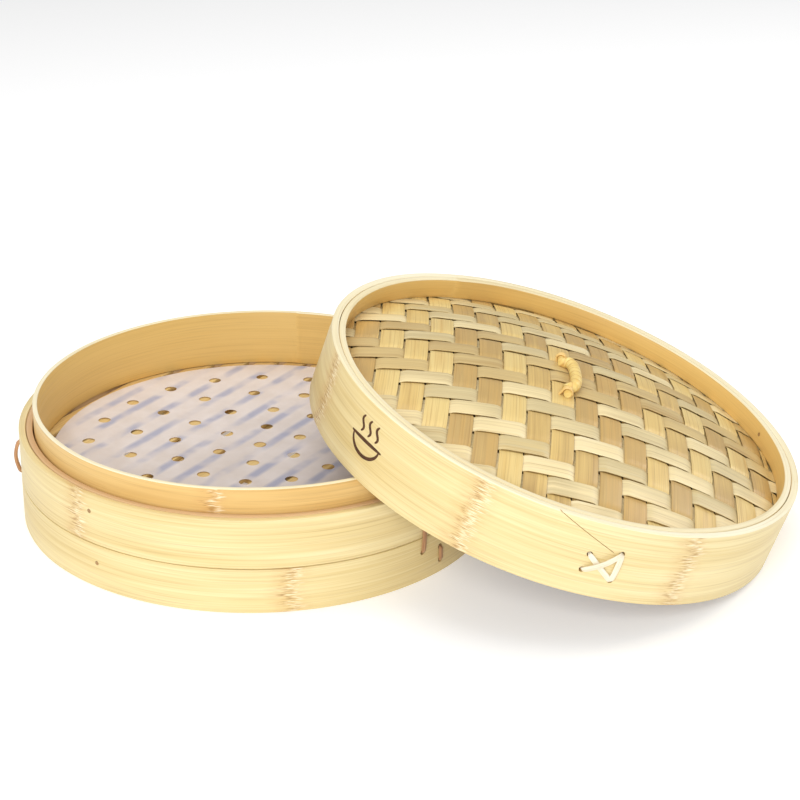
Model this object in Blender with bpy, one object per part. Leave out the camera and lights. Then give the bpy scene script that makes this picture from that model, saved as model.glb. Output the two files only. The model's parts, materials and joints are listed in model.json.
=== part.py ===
"""Bamboo steamer basket with a slatted floor, a perforated parchment liner and a woven lid.

Metres, +Z up. The basket stands on z = 0 and its lid leans on its collar towards +X.
The origin is on the table, under the middle of the whole object.
"""

import math

import bmesh
import bpy
from mathutils import Matrix, Vector

# General
CLEARANCE = 0.0003
SEGMENTS = 56
CUTTER_MARGIN = 0.002

# Basket hoops, from the outside in
BASKET_RADIUS = 0.127
OUTER_WALL = 0.0037
MIDDLE_WALL = 0.0037
INNER_WALL = 0.0024
SUPPORT_WALL = 0.0034
LOWER_BAND_TOP = 0.0241
LEDGE_HEIGHT = 0.0504
COLLAR_RISE = 0.0129
MIDDLE_HOOP_START = 0.0115
STACKING_SLACK = 0.0020

MIDDLE_RADIUS = BASKET_RADIUS - OUTER_WALL - CLEARANCE
COLLAR_RADIUS = MIDDLE_RADIUS - MIDDLE_WALL - CLEARANCE
INSIDE_RADIUS = COLLAR_RADIUS - INNER_WALL
COLLAR_HEIGHT = LEDGE_HEIGHT + COLLAR_RISE

# Floor of slats on cross battens
FLOOR_TOP = 0.0305
SLAT_THICKNESS = 0.0022
SLAT_WIDTH = 0.0103
SLAT_PITCH = 0.0150
SLAT_SHIFT = -0.0035
SLAT_ANGLE = math.radians(70)
SLAT_EDGE_MARGIN = 0.004
BATTEN_THICKNESS = 0.0030
BATTEN_WIDTH = 0.0200
BATTEN_PLACES = (0.0255, -0.0230, -0.0620)

# Parchment liner
LINER_SLACK = 0.0051
LINER_THICKNESS = 0.0005
LINER_HOLE_RADIUS = 0.0034
LINER_HOLE_COUNTS = (6, 12, 15, 21)
LINER_HOLE_MARGIN = 0.0187
LINER_HOLE_START = math.radians(155.5)
LINER_HOLE_SIDES = 8

LINER_RADIUS = INSIDE_RADIUS - LINER_SLACK
LINER_HOLE_PITCH = (LINER_RADIUS - LINER_HOLE_MARGIN) / len(LINER_HOLE_COUNTS)

# Pins and rattan stitches in the basket wall: angle in degrees, height in metres
PIN_RADIUS = 0.0011
BASKET_PINS = {
    "basket_pin_upper": (-116.1, LEDGE_HEIGHT - 0.0088),
    "basket_pin_lower": (-114.6, LOWER_BAND_TOP - 0.0104),
}
STRAND_WIDTH = 0.0027
STRAND_THICKNESS = 0.0009
STRAND_DEPTH = 0.0024
STRAND_END_SHARE = 0.66
STITCH_HOLE_RADIUS = 0.0016
BASKET_STITCHES = {
    "stitch_loop_left": (
        (-163.0, LOWER_BAND_TOP + 0.0139),
        (-163.0, LOWER_BAND_TOP - 0.0041),
        0.0020,
    ),
    "stitch_strand_right": (
        (-35.7, LOWER_BAND_TOP - 0.0081),
        (-35.4, LOWER_BAND_TOP + 0.0089),
        0.0004,
    ),
    "stitch_strand_low": (
        (-29.9, LOWER_BAND_TOP - 0.0095),
        (-29.8, LOWER_BAND_TOP - 0.0170),
        0.0,
    ),
}

# Lid
LID_HEIGHT = 0.0400
LID_HOOP_WALL = 0.0034
LEAN = math.radians(17.68)
LEAN_GAP = 0.0004
MAT_BELOW_RIM = 0.01275
DOME_RISE = 0.0188
SCARF_START = (-84.9, LID_HEIGHT)
SCARF_END = (-70.6, LID_HEIGHT - 0.0140)
SCARF_WIDTH = 0.0005
SCARF_DEPTH = 0.0012
SCARF_STEPS = 6
LACING_HOLES = (
    (-75.4, LID_HEIGHT - 0.0176),
    (-75.7, LID_HEIGHT - 0.0264),
    (-68.7, LID_HEIGHT - 0.0141),
    (-68.8, LID_HEIGHT - 0.0291),
)
LACING_STRANDS = ((0, 3, 0.0002), (2, 3, 0.0006), (1, 2, 0.0018))
LID_PIN = (27.0, LID_HEIGHT - 0.0060)

LID_INNER = BASKET_RADIUS - OUTER_WALL
LID_HOOP_RADIUS = LID_INNER - CLEARANCE
LID_RIM_INNER = LID_HOOP_RADIUS - LID_HOOP_WALL
MAT_EDGE = LID_HEIGHT - MAT_BELOW_RIM
DOME_RADIUS = LID_RIM_INNER - 2 * CLEARANCE

# Woven mat: strips in the lid's own plane, x downhill and y to the side
STRIP_THICKNESS = 0.0005
STRIP_GAP = 0.0010
WEAVE_LEVEL = 0.00055
WARP_PITCH = 0.012676
WARP_SHIFT = -0.10043
WARP_TURN = math.radians(9.0)
WEFT_PITCH = 0.0120
WEFT_SHIFT = -0.0036
WEFT_TURN = math.radians(104.7)
MARGIN_HALF_THICKNESS = 0.00035
MARGIN_SEAT = 0.0010
NARROWEST_STRIP = 0.003
STRIP_SPAN = 0.030

# Lining under the mat
LINING_THICKNESS = 0.0008
LINING_GAP = 0.00055
LINING_DROP = WEAVE_LEVEL + STRIP_THICKNESS / 2 + LINING_GAP + LINING_THICKNESS / 2
LINING_RINGS = 7
LINING_SEGMENTS = 28

# Handle: a rattan loop on stub ends, turned from +Y towards -X, tied to a peg under the mat
HANDLE_PLACE = -0.005
HANDLE_TURN = math.radians(12)
HANDLE_HALF_SPAN = 0.0195
HANDLE_AXIS_ABOVE_MAT = 0.0023
HANDLE_REACH = 0.0058
HANDLE_LEAN = math.radians(69)
HANDLE_RADIUS = 0.0031
STUB_RADIUS = 0.0014
STUB_LENGTH = 0.0040
HANDLE_SQUARENESS = 0.75
HANDLE_FULLNESS = 0.5
HANDLE_FOOT_SHARE = 0.45
HANDLE_STEPS = 14
HANDLE_SIDES = 10
TIE_RADIUS = 0.0008
TIE_SLACK = 0.0006
TIE_STEPS = 6
TIE_SIDES = 8
PEG_RADIUS = 0.0014
PEG_OVERHANG = 0.006
PEG_SIDES = 16

# Colours: red, green, blue, roughness
BAND_FINISH = (0.86, 0.76, 0.50, 0.45)
INNER_FINISH = (0.74, 0.56, 0.26, 0.50)
SLAT_FINISH = (0.72, 0.60, 0.38, 0.60)
STRIP_FINISH = (0.74, 0.62, 0.38, 0.50)
WEFT_FINISH = (0.80, 0.68, 0.42, 0.50)
LINING_FINISH = (0.52, 0.42, 0.24, 0.70)
PAPER_FINISH = (0.88, 0.84, 0.80, 0.60)
RATTAN_FINISH = (0.86, 0.66, 0.34, 0.55)
LACING_FINISH = (0.90, 0.86, 0.76, 0.50)
PIN_FINISH = (0.32, 0.20, 0.10, 0.70)


def clear_scene():
    for obj in list(bpy.data.objects):
        bpy.data.objects.remove(obj, do_unlink=True)


def finish(name, values):
    """A Principled material, made once for each name."""
    material = bpy.data.materials.get(name)
    if material is None:
        material = bpy.data.materials.new(name)
        material.use_nodes = True
        shader = material.node_tree.nodes["Principled BSDF"]
        shader.inputs["Base Color"].default_value = (*values[:3], 1.0)
        shader.inputs["Roughness"].default_value = values[3]
        shader.inputs["Metallic"].default_value = 0.0
    return material


def empty(name, location, parent=None, tilt=0.0, turn=0.0):
    """An axis system, tilted about +Y or turned about +Z."""
    obj = bpy.data.objects.new(name, None)
    bpy.context.scene.collection.objects.link(obj)
    obj.location = location
    obj.rotation_euler = (0.0, tilt, turn)
    obj.parent = parent
    return obj


def sweep(sections, closed=False, mesh=None):
    """Faces between sections of the same number of points, capped unless the run is closed."""
    mesh = mesh or bmesh.new()
    rows = [[mesh.verts.new(point) for point in section] for section in sections]
    count = len(rows[0])
    for index in range(len(rows) if closed else len(rows) - 1):
        first = rows[index]
        second = rows[(index + 1) % len(rows)]
        for side in range(count):
            after = (side + 1) % count
            mesh.faces.new((first[side], first[after], second[after], second[side]))
    if not closed:
        mesh.faces.new(rows[0])
        mesh.faces.new(rows[-1])
    return mesh


def place(name, mesh, parent, material, location=(0.0, 0.0, 0.0)):
    """Turns a bmesh into a named object with outward faces."""
    bmesh.ops.recalc_face_normals(mesh, faces=mesh.faces)
    data = bpy.data.meshes.new(name)
    mesh.to_mesh(data)
    mesh.free()
    data.shade_smooth()
    data.set_sharp_from_angle(angle=math.radians(30))
    obj = bpy.data.objects.new(name, data)
    bpy.context.scene.collection.objects.link(obj)
    obj.parent = parent
    obj.location = location
    if material:
        data.materials.append(material)
    return obj


def helper(name, mesh, parent, location=(0.0, 0.0, 0.0)):
    """A solid that only cuts or joins."""
    obj = place(name, mesh, parent, None, location)
    obj.hide_render = True
    obj.display_type = "WIRE"
    return obj


def combine(target, tool, operation="DIFFERENCE"):
    modifier = target.modifiers.new(tool.name, "BOOLEAN")
    modifier.operation = operation
    modifier.solver = "EXACT"
    modifier.object = tool


def on_circle(radius, angle, height=0.0):
    return Vector((radius * math.cos(angle), radius * math.sin(angle), height))


def turns(count, start=0.0):
    return [start + 2 * math.pi * step / count for step in range(count)]


def hoop_mesh(outer, inner, bottom, top):
    """A bent strip whose ends are glued, as a plain ring."""
    sections = []
    for angle in turns(SEGMENTS):
        corners = ((outer, bottom), (outer, top), (inner, top), (inner, bottom))
        sections.append([on_circle(radius, angle, height) for radius, height in corners])
    return sweep(sections, closed=True)


def prism(outline, bottom, top):
    """An outline of (x, y) points, extruded upwards."""
    return sweep([[Vector((x, y, height)) for x, y in outline] for height in (bottom, top)])


def rod(start, end, radius, sides, mesh=None):
    """A round rod between two points."""
    axis = (end - start).normalized()
    across = axis.orthogonal().normalized()
    other = axis.cross(across)
    sections = []
    for centre in (start, end):
        sections.append(
            [centre + radius * (math.cos(a) * across + math.sin(a) * other) for a in turns(sides)]
        )
    return sweep(sections, mesh=mesh)


def radial_rod(place_on_wall, inner, outer, radius, sides=12, mesh=None):
    """A rod that points away from the Z axis, at (angle in degrees, height)."""
    angle = math.radians(place_on_wall[0])
    height = place_on_wall[1]
    start = on_circle(inner, angle, height)
    end = on_circle(outer, angle, height)
    return rod(start, end, radius, sides, mesh)


def strand_mesh(start, end, lift, mesh=None):
    """A flat rattan strand on the outside wall, from one hole to another, lifted halfway."""
    wall = BASKET_RADIUS
    start_angle, start_height = math.radians(start[0]), start[1]
    run = wall * (math.radians(end[0]) - start_angle)
    rise = end[1] - start_height
    length = math.hypot(run, rise)
    along = (run / length, rise / length)
    stand = STRAND_THICKNESS / 2 + CLEARANCE
    bend = stand + 0.0002
    half = [(0.0, -STRAND_DEPTH, STRAND_END_SHARE), (0.0, -CLEARANCE, STRAND_END_SHARE)]
    half.append((0.3 * bend, 0.7 * stand, 0.8))
    half.append((bend, stand + 0.15 * lift, 1.0))
    half.append((0.25 * length, stand + 0.75 * lift, 1.0))
    line = half + [(0.5 * length, stand + lift, 1.0)]
    line += [(length - run_in, off, share) for run_in, off, share in reversed(half)]
    sections = []
    for index, (place_along, off, share) in enumerate(line):
        before = line[max(index - 1, 0)]
        after = line[min(index + 1, len(line) - 1)]
        heading = Vector((after[0] - before[0], after[1] - before[1])).normalized()
        section = []
        for side, layer in ((-1, -1), (1, -1), (1, 1), (-1, 1)):
            a = place_along - layer * heading.y * STRAND_THICKNESS / 2
            out = off + layer * heading.x * STRAND_THICKNESS / 2
            across = side * share * STRAND_WIDTH / 2
            angle = start_angle + (a * along[0] - across * along[1]) / wall
            height = start_height + a * along[1] + across * along[0]
            section.append(on_circle(wall + out, angle, height))
        sections.append(section)
    return sweep(sections, mesh=mesh)


def crossing_outline(offset, width, direction, radius):
    """A bar across a round opening: its long sides straight, its ends cut to the circle."""
    across = Vector((math.sin(direction), -math.cos(direction)))
    along = Vector((math.cos(direction), math.sin(direction)))
    outline = []
    for sign, edges in ((1, (-0.5, 0.0, 0.5)), (-1, (0.5, 0.0, -0.5))):
        for edge in edges:
            place_across = offset + edge * width
            reach = math.sqrt(radius**2 - place_across**2)
            point = place_across * across + sign * reach * along
            outline.append((point.x, point.y))
    return outline


# Basket


def build_basket_hoops(frame):
    band = finish("outer_bands", BAND_FINISH)
    inner = finish("inner_hoops", INNER_FINISH)
    outer_inside = BASKET_RADIUS - OUTER_WALL
    lower = place(
        "basket_lower_band",
        hoop_mesh(BASKET_RADIUS, outer_inside, 0.0, LOWER_BAND_TOP - CLEARANCE / 2),
        frame,
        band,
    )
    upper = place(
        "basket_upper_band",
        hoop_mesh(BASKET_RADIUS, outer_inside, LOWER_BAND_TOP + CLEARANCE / 2, LEDGE_HEIGHT),
        frame,
        band,
    )
    middle = place(
        "basket_middle_hoop",
        hoop_mesh(MIDDLE_RADIUS, MIDDLE_RADIUS - MIDDLE_WALL, MIDDLE_HOOP_START, LEDGE_HEIGHT),
        frame,
        band,
    )
    place(
        "basket_inner_hoop",
        hoop_mesh(COLLAR_RADIUS, INSIDE_RADIUS, FLOOR_TOP + CLEARANCE, COLLAR_HEIGHT),
        frame,
        inner,
    )
    support_top = FLOOR_TOP - SLAT_THICKNESS - BATTEN_THICKNESS - 2 * CLEARANCE
    place(
        "floor_support_hoop",
        hoop_mesh(
            COLLAR_RADIUS,
            COLLAR_RADIUS - SUPPORT_WALL,
            COLLAR_RISE + STACKING_SLACK,
            support_top,
        ),
        frame,
        inner,
    )
    return lower, upper, middle


def build_basket_fasteners(frame, lower, upper, middle):
    """Pins through two hoops, and rattan stitches through the outer bands."""
    rattan = finish("rattan", RATTAN_FINISH)
    dark = finish("pins", PIN_FINISH)
    beyond = BASKET_RADIUS + CUTTER_MARGIN
    stitch_cutter = bmesh.new()
    for name, (start, end, lift) in BASKET_STITCHES.items():
        place(name, strand_mesh(start, end, lift), frame, rattan)
        for hole in (start, end):
            inside = MIDDLE_RADIUS + CLEARANCE / 2
            radial_rod(hole, inside, beyond, STITCH_HOLE_RADIUS, mesh=stitch_cutter)
    stitch_holes = helper("basket_stitch_holes", stitch_cutter, frame)
    pin_cutter = bmesh.new()
    inside = COLLAR_RADIUS + CLEARANCE / 2
    for name, spot in BASKET_PINS.items():
        pin = radial_rod(spot, inside + CLEARANCE, BASKET_RADIUS, PIN_RADIUS)
        place(name, pin, frame, dark)
        radial_rod(spot, inside, beyond, PIN_RADIUS + CLEARANCE, mesh=pin_cutter)
    pin_holes = helper("basket_pin_holes", pin_cutter, frame)
    for band in (lower, upper):
        combine(band, stitch_holes)
    for hoop in (lower, upper, middle):
        combine(hoop, pin_holes)


def build_floor(frame):
    wood = finish("slats", SLAT_FINISH)
    reach = COLLAR_RADIUS - SLAT_WIDTH / 2 - SLAT_EDGE_MARGIN
    first = math.ceil((-reach - SLAT_SHIFT) / SLAT_PITCH)
    last = math.floor((reach - SLAT_SHIFT) / SLAT_PITCH)
    for number, step in enumerate(range(first, last + 1), start=1):
        outline = crossing_outline(
            SLAT_SHIFT + step * SLAT_PITCH, SLAT_WIDTH, SLAT_ANGLE, COLLAR_RADIUS
        )
        slat = prism(outline, FLOOR_TOP - SLAT_THICKNESS, FLOOR_TOP)
        place(f"floor_slat_{number:02d}", slat, frame, wood)
    batten_top = FLOOR_TOP - SLAT_THICKNESS - CLEARANCE
    batten_angle = SLAT_ANGLE + math.pi / 2
    for number, offset in enumerate(BATTEN_PLACES, start=1):
        outline = crossing_outline(offset, BATTEN_WIDTH, batten_angle, COLLAR_RADIUS)
        batten = prism(outline, batten_top - BATTEN_THICKNESS, batten_top)
        place(f"floor_batten_{number}", batten, frame, wood)


def build_liner(frame):
    bottom = FLOOR_TOP + CLEARANCE
    top = bottom + LINER_THICKNESS
    circle = [tuple(on_circle(LINER_RADIUS, angle)[:2]) for angle in turns(SEGMENTS)]
    paper = finish("parchment", PAPER_FINISH)
    liner = place("parchment_liner", prism(circle, bottom, top), frame, paper)
    low = Vector((0.0, 0.0, bottom - CUTTER_MARGIN))
    high = Vector((0.0, 0.0, top + CUTTER_MARGIN))
    cutter = rod(low, high, LINER_HOLE_RADIUS, LINER_HOLE_SIDES)
    for ring, count in enumerate(LINER_HOLE_COUNTS, start=1):
        for angle in turns(count, LINER_HOLE_START):
            shift = on_circle(ring * LINER_HOLE_PITCH, angle)
            rod(low + shift, high + shift, LINER_HOLE_RADIUS, LINER_HOLE_SIDES, cutter)
    combine(liner, helper("liner_holes", cutter, frame))


# Lid, in its own upright frame: the skirt's lower edge is at height 0


def dome(x, y):
    """Height of the middle of the mat."""
    share = (x * x + y * y) / DOME_RADIUS**2
    return MAT_EDGE + DOME_RISE * max(0.0, 1.0 - share)


def build_lid_hoops(frame, shift):
    band = finish("outer_bands", BAND_FINISH)
    inner = finish("inner_hoops", INNER_FINISH)
    outer_band = place(
        "lid_outer_band", hoop_mesh(BASKET_RADIUS, LID_INNER, 0.0, LID_HEIGHT), frame, band, shift
    )
    mat_top = MAT_EDGE + WEAVE_LEVEL + MARGIN_HALF_THICKNESS
    upper = place(
        "lid_upper_hoop",
        hoop_mesh(LID_HOOP_RADIUS, LID_RIM_INNER, mat_top + CLEARANCE, LID_HEIGHT),
        frame,
        inner,
        shift,
    )
    lining_bottom = MAT_EDGE - LINING_DROP - LINING_THICKNESS / 2
    place(
        "lid_lower_hoop",
        hoop_mesh(
            LID_HOOP_RADIUS,
            LID_RIM_INNER,
            COLLAR_RISE + STACKING_SLACK,
            lining_bottom - CLEARANCE,
        ),
        frame,
        inner,
        shift,
    )
    return outer_band, upper


def scarf_cutter():
    """The slit where the outer end of the lid's strip lies on the strip below."""
    sections = []
    for step in range(-1, SCARF_STEPS + 1):
        share = step / SCARF_STEPS
        angle = math.radians(SCARF_START[0] + share * (SCARF_END[0] - SCARF_START[0]))
        height = SCARF_START[1] + share * (SCARF_END[1] - SCARF_START[1])
        section = []
        for off, side in (
            (-SCARF_DEPTH, -1),
            (-SCARF_DEPTH, 1),
            (CUTTER_MARGIN, 1),
            (CUTTER_MARGIN, -1),
        ):
            spot = on_circle(BASKET_RADIUS + off, angle, height + side * SCARF_WIDTH / 2)
            section.append(spot)
        sections.append(section)
    return sweep(sections)


def build_lid_fasteners(frame, shift, outer_band, upper):
    """The lacing at the end of the scarf, and the pin through both hoops."""
    beyond = BASKET_RADIUS + CUTTER_MARGIN
    strands = []
    for number, (start, end, lift) in enumerate(LACING_STRANDS):
        mesh = strand_mesh(LACING_HOLES[start], LACING_HOLES[end], lift)
        if strands:
            strands.append(helper(f"lid_lacing_part_{number}", mesh, frame, shift))
        else:
            lacing = finish("lacing", LACING_FINISH)
            strands.append(place("lid_lacing", mesh, frame, lacing, shift))
    for part in strands[1:]:
        combine(strands[0], part, "UNION")
    holes = bmesh.new()
    for hole in LACING_HOLES:
        radial_rod(hole, LID_HOOP_RADIUS + CLEARANCE / 2, beyond, STITCH_HOLE_RADIUS, mesh=holes)
    combine(outer_band, helper("lid_lacing_holes", holes, frame, shift))
    combine(outer_band, helper("lid_scarf_slit", scarf_cutter(), frame, shift))
    pin = radial_rod(LID_PIN, LID_RIM_INNER, BASKET_RADIUS, PIN_RADIUS)
    place("lid_pin", pin, frame, finish("pins", PIN_FINISH), shift)
    hole = radial_rod(LID_PIN, LID_RIM_INNER - CUTTER_MARGIN, beyond, PIN_RADIUS + CLEARANCE)
    pin_hole = helper("lid_pin_hole", hole, frame, shift)
    combine(outer_band, pin_hole)
    combine(upper, pin_hole)


class Strips:
    """One direction of the weave: parallel strips, numbered along their common normal."""

    def __init__(self, turn, pitch, shift):
        self.normal = Vector((math.cos(turn), math.sin(turn)))
        self.along = Vector((-math.sin(turn), math.cos(turn)))
        self.pitch = pitch
        self.shift = shift

    def line(self, number):
        """Offset of the boundary before strip NUMBER."""
        return self.shift + number * self.pitch

    def numbers(self, radius):
        first = math.floor((-radius - self.shift) / self.pitch)
        last = math.ceil((radius - self.shift) / self.pitch)
        return range(first, last)

    def edges(self, number, radius):
        """Offsets of the two edges of a strip, kept within the circle."""
        low = max(self.line(number) + STRIP_GAP / 2, -radius)
        high = min(self.line(number + 1) - STRIP_GAP / 2, radius)
        return low, high

    def crossing(self, offset, other, other_offset):
        """The point on this offset that lies on a line of the other direction."""
        cosine = self.normal.dot(other.normal)
        sine = self.along.dot(other.normal)
        run = (other_offset - offset * cosine) / sine
        return offset * self.normal + run * self.along


def at_margin(warps, warp, wefts, weft, radius):
    """Whether a crossing reaches into the clamped margin, where every warp lies on top."""
    for warp_line in (warps.line(warp), warps.line(warp + 1)):
        for weft_line in (wefts.line(weft), wefts.line(weft + 1)):
            if warps.crossing(warp_line, wefts, weft_line).length > radius:
                return True
    return False


def level_of(strips, number, others, other, is_warp):
    """+1 where a strip lies on top at a crossing, -1 where it lies below: a 2/2 twill."""
    warps, warp, wefts, weft = (
        (strips, number, others, other) if is_warp else (others, other, strips, number)
    )
    margin = DOME_RADIUS - 2 * STRIP_GAP
    on_top = at_margin(warps, warp, wefts, weft, margin) or (warp + weft) % 4 in (1, 2)
    return 1 if on_top == is_warp else -1


def strip_section(strips, offsets, runs, level):
    """The four corners of a strip's cross-section, one run along the strip for each edge."""
    section = []
    for edge, layer in ((0, -1), (1, -1), (1, 1), (0, 1)):
        x, y = offsets[edge] * strips.normal + runs[edge] * strips.along
        middle = dome(x, y) + level * WEAVE_LEVEL
        section.append(Vector((x, y, middle + layer * STRIP_THICKNESS / 2)))
    return section


def strip_end(offsets, radius, end, level):
    return [end * math.sqrt(radius**2 - edge**2) for edge in offsets], level


def strip_knots(strips, number, others, is_warp, offsets):
    """Where a strip changes level, and its two clamped ends: (runs of both edges, level)."""
    end_radius = LID_HOOP_RADIUS - MARGIN_SEAT - CLEARANCE
    margin_level = 1 if is_warp else -1
    crossed = []
    for other in others.numbers(DOME_RADIUS):
        levels = [
            level_of(strips, number, others, beside, is_warp) for beside in (other - 1, other)
        ]
        if levels[0] == levels[1]:
            continue
        for side, level in zip((-1, 1), levels):
            offset = others.line(other) + side * STRIP_GAP / 2
            points = [strips.crossing(edge, others, offset) for edge in offsets]
            crossed.append(([point.dot(strips.along) for point in points], level))
    crossed.sort(key=lambda knot: knot[0][0])
    low = [strip_end(offsets, radius, -1, margin_level) for radius in (end_radius, DOME_RADIUS)]
    high = [strip_end(offsets, radius, 1, margin_level) for radius in (DOME_RADIUS, end_radius)]
    return low + crossed + high


def strip_mesh(strips, number, others, is_warp, mesh):
    """One strip across the lid, stepping over and under the strips of the other direction."""
    offsets = strips.edges(number, DOME_RADIUS - 2 * STRIP_GAP)
    if offsets[1] - offsets[0] < NARROWEST_STRIP:
        return
    knots = strip_knots(strips, number, others, is_warp, offsets)
    sections = []
    for (runs, level), (next_runs, next_level) in zip(knots, knots[1:]):
        span = max(abs(after - before) for before, after in zip(runs, next_runs))
        steps = math.ceil(span / STRIP_SPAN) if level == next_level else 1
        for step in range(steps):
            share = step / steps
            between = [before + share * (after - before) for before, after in zip(runs, next_runs)]
            sections.append(strip_section(strips, offsets, between, level))
    sections.append(strip_section(strips, offsets, *knots[-1]))
    sweep(sections, mesh=mesh)


def build_comb(name, strips, others, is_warp, frame, shift, material):
    """All strips of one direction, held together by the margin that the hoops clamp."""
    mesh = bmesh.new()
    for number in strips.numbers(DOME_RADIUS):
        strip_mesh(strips, number, others, is_warp, mesh)
    comb = place(name, mesh, frame, material, shift)
    level = MAT_EDGE + (WEAVE_LEVEL if is_warp else -WEAVE_LEVEL)
    margin = hoop_mesh(
        LID_HOOP_RADIUS - CLEARANCE,
        LID_RIM_INNER + CLEARANCE,
        level - MARGIN_HALF_THICKNESS,
        level + MARGIN_HALF_THICKNESS,
    )
    combine(comb, helper(f"{name}_margin", margin, frame, shift), "UNION")
    return comb


def build_lining(frame, shift):
    """The thin domed sheet under the weave, clamped with it."""
    edge = LID_HOOP_RADIUS - CLEARANCE
    radii = [DOME_RADIUS * step / LINING_RINGS for step in range(1, LINING_RINGS + 1)] + [edge]
    sections = []
    for side, order in ((1, radii), (-1, radii[::-1])):
        for radius in order:
            height = dome(radius, 0.0) - LINING_DROP + side * LINING_THICKNESS / 2
            sections.append([on_circle(radius, a, height) for a in turns(LINING_SEGMENTS)])
    material = finish("lining", LINING_FINISH)
    return place("lid_lining", sweep(sections), frame, material, shift)


def handle_heights():
    """Heights of the handle's axis above the mat and of the peg below the lining."""
    foot = dome(HANDLE_PLACE, HANDLE_HALF_SPAN) + WEAVE_LEVEL + STRIP_THICKNESS / 2
    peg_end = HANDLE_HALF_SPAN + PEG_OVERHANG
    lining = dome(HANDLE_PLACE - PEG_RADIUS, peg_end) - LINING_DROP - LINING_THICKNESS / 2
    return foot + HANDLE_AXIS_ABOVE_MAT, lining - 2 * CLEARANCE - PEG_RADIUS


def handle_mesh():
    """The loop about its own hinge axis: round stubs along Y, and a leaning arch."""
    lean = Vector((math.sin(HANDLE_LEAN), 0.0, math.cos(HANDLE_LEAN)))
    side = Vector((0.0, 1.0, 0.0))
    line = [(-HANDLE_HALF_SPAN - STUB_LENGTH / 2, 0.0, STUB_RADIUS)]
    line.append((-HANDLE_HALF_SPAN + STUB_LENGTH / 2, 0.0, STUB_RADIUS))
    arch = HANDLE_HALF_SPAN - STUB_LENGTH / 2 - HANDLE_RADIUS
    for step in range(HANDLE_STEPS + 1):
        turn = math.pi * step / HANDLE_STEPS
        run = math.copysign(abs(math.cos(turn)) ** HANDLE_SQUARENESS, math.cos(turn))
        swell = max(0.0, math.sin(turn)) ** HANDLE_FULLNESS
        share = min(1.0, HANDLE_FOOT_SHARE + swell)
        radius = STUB_RADIUS + (HANDLE_RADIUS - STUB_RADIUS) * share
        line.append((-arch * run, HANDLE_REACH * swell, radius))
    line.append((HANDLE_HALF_SPAN - STUB_LENGTH / 2, 0.0, STUB_RADIUS))
    line.append((HANDLE_HALF_SPAN + STUB_LENGTH / 2, 0.0, STUB_RADIUS))
    other = side.cross(lean)
    sections = []
    for index, (y, out, radius) in enumerate(line):
        before = line[max(index - 1, 0)]
        after = line[min(index + 1, len(line) - 1)]
        heading = Vector((after[0] - before[0], after[1] - before[1])).normalized()
        centre = y * side + out * lean
        across = heading.x * lean - heading.y * side
        ring = [
            centre + radius * (math.cos(a) * across + math.sin(a) * other)
            for a in turns(HANDLE_SIDES)
        ]
        sections.append(ring)
    return sweep(sections)


def tie_mesh(top, bottom, aside):
    """A closed binding round the handle's stub, which lies aside along X, and the peg below."""
    upper_bend = STUB_RADIUS + TIE_SLACK + TIE_RADIUS
    lower_bend = PEG_RADIUS + TIE_SLACK + TIE_RADIUS
    line = []
    for x, z, bend, start in ((aside, top, upper_bend, 0.0), (0.0, bottom, lower_bend, math.pi)):
        for step in range(TIE_STEPS + 1):
            turn = start + math.pi * step / TIE_STEPS
            outward = Vector((math.cos(turn), 0.0, math.sin(turn)))
            line.append((Vector((x, 0.0, z)) + bend * outward, outward))
    sections = []
    for centre, outward in line:
        ring = [
            centre + TIE_RADIUS * (math.cos(a) * outward + math.sin(a) * Vector((0.0, 1.0, 0.0)))
            for a in turns(TIE_SIDES)
        ]
        sections.append(ring)
    return sweep(sections, closed=True)


def tie_slot(foot, axis_height, mesh):
    """Cuts the mat and the lining where a tie goes down from the stub to the peg."""
    half_length = STUB_RADIUS + TIE_SLACK + 2 * TIE_RADIUS + 2 * CLEARANCE
    half_width = TIE_RADIUS + 2 * CLEARANCE
    low = min(foot.x, HANDLE_PLACE) - half_length
    high = max(foot.x, HANDLE_PLACE) + half_length
    near, far = foot.y - half_width, foot.y + half_width
    outline = ((low, near), (high, near), (high, far), (low, far))
    sweep([[Vector((x, y, z)) for x, y in outline] for z in (MAT_EDGE, axis_height)], mesh=mesh)


def build_handle(lid_pivot, shift, pierced):
    axis_height, peg_height = handle_heights()
    rattan = finish("rattan", RATTAN_FINISH)
    handle_place = (HANDLE_PLACE + shift[0], 0.0, axis_height + shift[2])
    handle_pivot = empty("handle_pivot", handle_place, lid_pivot, turn=HANDLE_TURN)
    place("handle_loop", handle_mesh(), handle_pivot, rattan)
    half_peg = Vector((0.0, HANDLE_HALF_SPAN + PEG_OVERHANG, 0.0))
    peg = rod(-half_peg, half_peg, PEG_RADIUS, PEG_SIDES)
    place("handle_peg", peg, lid_pivot, finish("slats", SLAT_FINISH))
    slots = bmesh.new()
    for number, side in enumerate((-1, 1), start=1):
        aside = -side * HANDLE_HALF_SPAN * math.sin(HANDLE_TURN)
        foot = Vector((HANDLE_PLACE + aside, side * HANDLE_HALF_SPAN * math.cos(HANDLE_TURN)))
        seat = (HANDLE_PLACE + shift[0], foot.y, shift[2])
        tie = tie_mesh(axis_height, peg_height, aside)
        place(f"handle_tie_{number}", tie, lid_pivot, rattan, seat)
        tie_slot(foot, axis_height, slots)
    slot_cutter = helper("handle_tie_slots", slots, lid_pivot, shift)
    for piece in pierced:
        combine(piece, slot_cutter)


def lean_of_lid():
    """Middle of the skirt's lower edge, seen from the basket's axis, when the skirt's inner edge
    rests on the collar and its outer edge on the table."""
    height = BASKET_RADIUS * math.sin(LEAN) + LEAN_GAP
    run = (COLLAR_HEIGHT + LEAN_GAP - height) / math.tan(LEAN)
    touch = math.sqrt(COLLAR_RADIUS**2 - LID_INNER**2 + (run / math.cos(LEAN)) ** 2)
    return touch + run, height


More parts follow.
